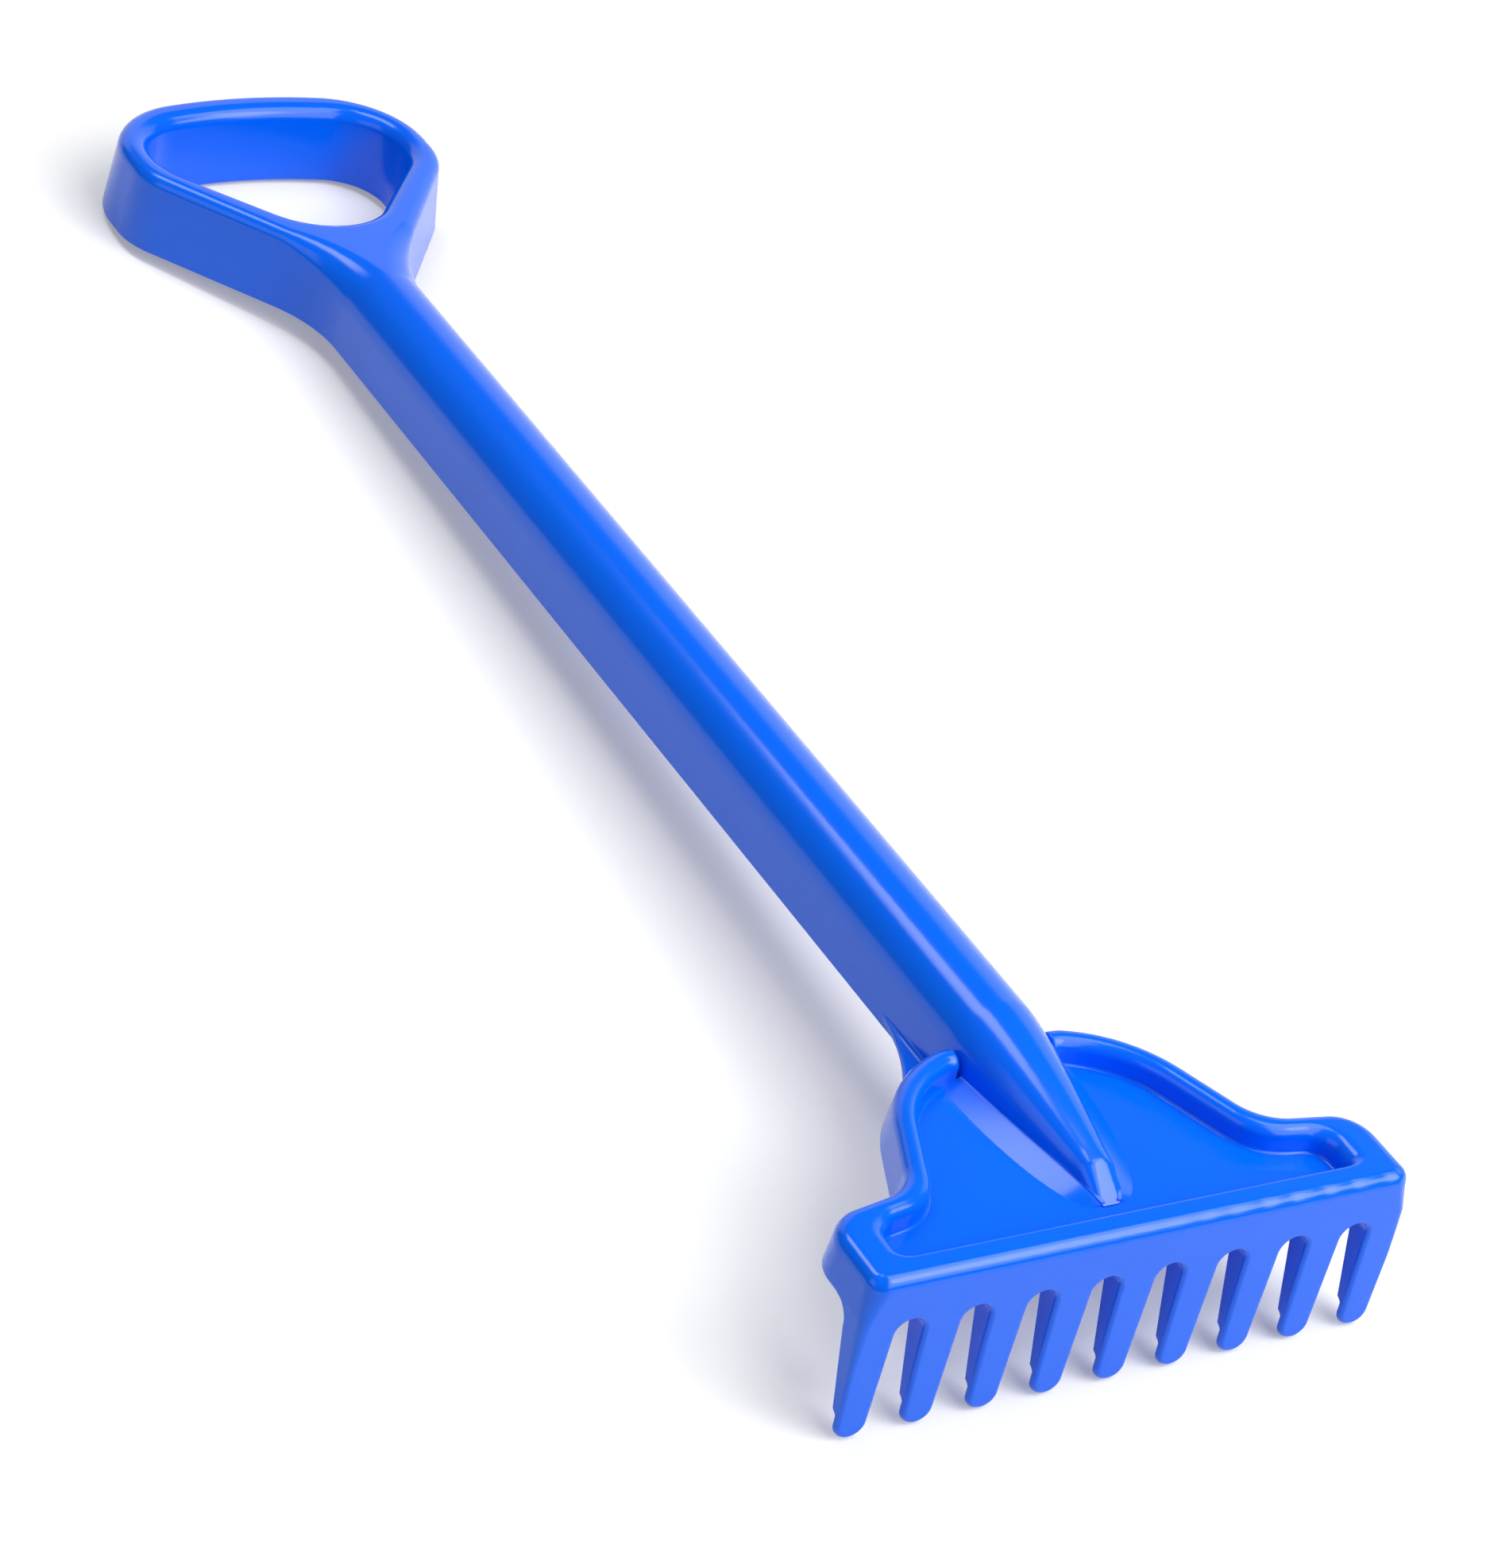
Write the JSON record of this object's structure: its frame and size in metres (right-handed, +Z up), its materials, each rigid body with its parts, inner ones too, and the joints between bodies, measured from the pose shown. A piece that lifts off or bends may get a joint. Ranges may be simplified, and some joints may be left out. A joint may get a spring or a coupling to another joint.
{
  "type": "sand rake",
  "caption": "Child's long-handled sand rake with a D-shaped hand loop, an open channel shaft and a toothed head with a raised rim.",
  "frame": {"origin": "middle of the rake's length and width, at the height of the tine tips", "axes": "+X across the head, +Y along the shaft from the tines to the grip, +Z up, square to the head's plate"},
  "size_m": [0.1438, 0.503, 0.0524],
  "materials": {
    "body": "glossy blue moulded polypropylene"
  },
  "bodies": {
    "root": {"grip_bar": "body", "grip_left_arm": "body", "grip_right_arm": "body", "shaft": "body", "shaft_nose": "body", "head_plate": "body", "left_rim": "body", "right_rim": "body", "left_web": "body", "right_web": "body", "left_cheek": "body", "right_cheek": "body", "front_border": "body", "tine_bar": "body", "tine_1": "body", "tine_2": "body", "tine_3": "body", "tine_4": "body", "tine_5": "body", "tine_6": "body", "tine_7": "body", "tine_8": "body", "tine_9": "body"}
  },
  "joints": []
}
